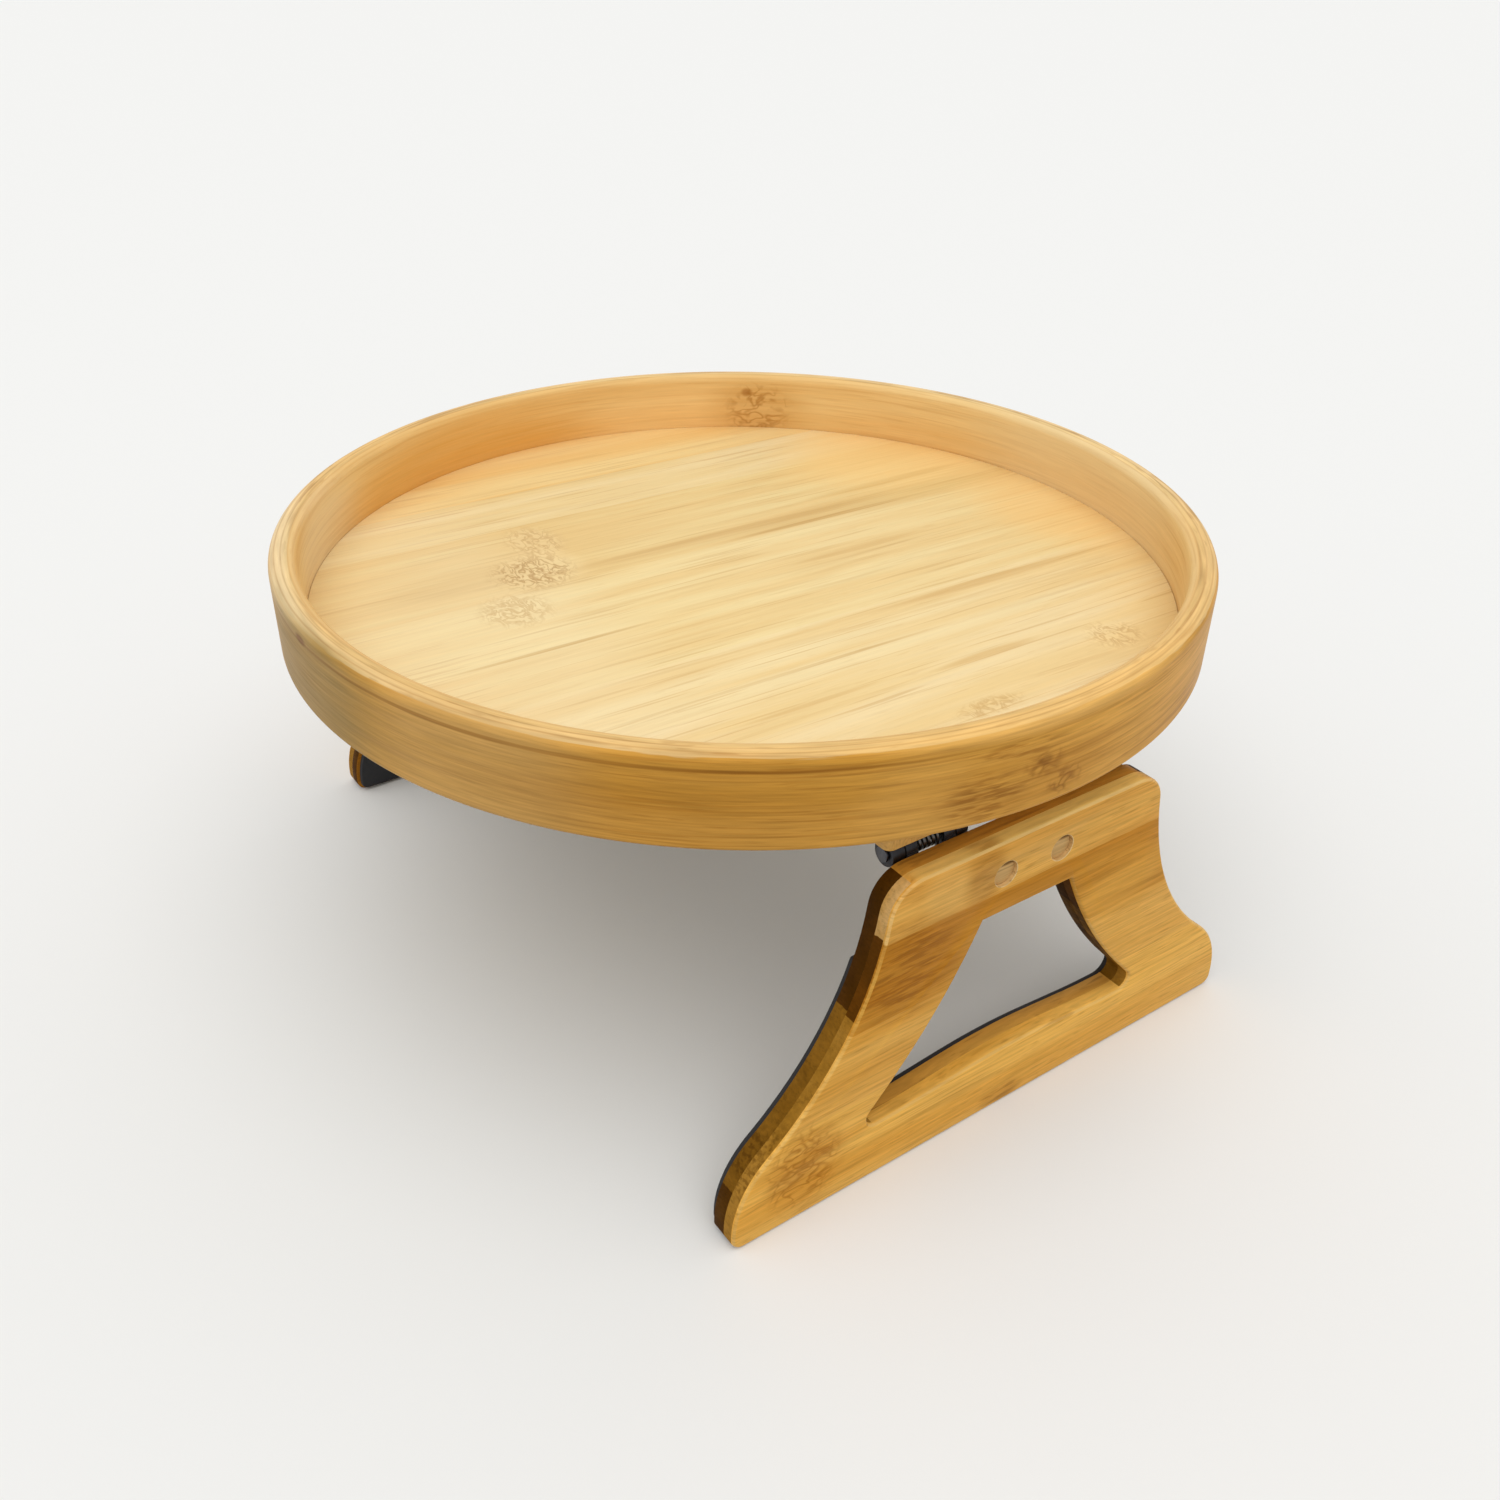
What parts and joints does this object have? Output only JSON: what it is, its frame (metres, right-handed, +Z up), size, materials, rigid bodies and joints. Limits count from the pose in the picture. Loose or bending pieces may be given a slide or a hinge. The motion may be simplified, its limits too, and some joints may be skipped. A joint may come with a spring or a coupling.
{
  "type": "sofa arm tray",
  "caption": "Shallow round tray on a cross board, with flared clip legs on sprung hinges that straddle a sofa arm and fold in flat beneath it.",
  "frame": {"origin": "centre of the tray, at the height of the feet", "axes": "+Z up, out of the tray; +X from the left leg to the right leg; +Y along the sofa arm"},
  "size_m": [0.25, 0.25, 0.1235],
  "materials": {
    "bamboo_rim": "bent-laminated bamboo, satin lacquer",
    "bamboo_floor": "pale straight-grained bamboo, satin lacquer",
    "bamboo_board": "pale bamboo, matt lacquer",
    "bamboo_leg_outer": "bamboo ply with darker glued strips, satin lacquer",
    "bamboo_leg_inner": "darker bamboo ply, satin lacquer",
    "beech_dowel": "bare end grain",
    "black_rubber": "matt sheet rubber",
    "zinc_screw": "zinc-plated steel",
    "dark_hinge_leaf": "blackened steel, satin",
    "steel_pin": "bright steel",
    "spring_steel": "oiled spring steel"
  },
  "bodies": {
    "tray": {"tray_rim": "bamboo_rim", "floor_panel": "bamboo_floor", "cross_board": "bamboo_board", "cross_board_screws": "zinc_screw", "cross_board_pad": "black_rubber", "hinge_board_screws": "zinc_screw", "right_front_hinge_board_leaf": "dark_hinge_leaf", "right_front_hinge_pin": "steel_pin", "right_front_hinge_spring": "spring_steel", "right_back_hinge_board_leaf": "dark_hinge_leaf", "right_back_hinge_pin": "steel_pin", "right_back_hinge_spring": "spring_steel", "left_front_hinge_board_leaf": "dark_hinge_leaf", "left_front_hinge_pin": "steel_pin", "left_front_hinge_spring": "spring_steel", "left_back_hinge_board_leaf": "dark_hinge_leaf", "left_back_hinge_pin": "steel_pin", "left_back_hinge_spring": "spring_steel"},
    "right_leg": {"right_leg_outer_ply": "bamboo_leg_outer", "right_leg_inner_ply": "bamboo_leg_inner", "right_leg_dowels": "beech_dowel", "right_leg_pad": "black_rubber", "right_leg_hinge_screws": "zinc_screw", "right_front_hinge_leg_leaf": "dark_hinge_leaf", "right_back_hinge_leg_leaf": "dark_hinge_leaf"},
    "left_leg": {"left_leg_outer_ply": "bamboo_leg_outer", "left_leg_inner_ply": "bamboo_leg_inner", "left_leg_dowels": "beech_dowel", "left_leg_pad": "black_rubber", "left_leg_hinge_screws": "zinc_screw", "left_front_hinge_leg_leaf": "dark_hinge_leaf", "left_back_hinge_leg_leaf": "dark_hinge_leaf"}
  },
  "joints": [
    {"name": "right_leg_swing", "type": "hinge", "parent": "tray", "child": "right_leg", "pos_m": [0.10726, 0, 0.0885], "axis": [0, 1, 0], "range_deg": [-30, 90], "stiffness_Nm_per_rad": 0.6, "deforming": ["right_front_hinge_spring", "right_back_hinge_spring"]},
    {"name": "left_leg_swing", "type": "hinge", "parent": "tray", "child": "left_leg", "pos_m": [-0.10726, 0, 0.0885], "axis": [0, -1, 0], "range_deg": [-30, 90], "stiffness_Nm_per_rad": 0.6, "deforming": ["left_front_hinge_spring", "left_back_hinge_spring"]}
  ]
}
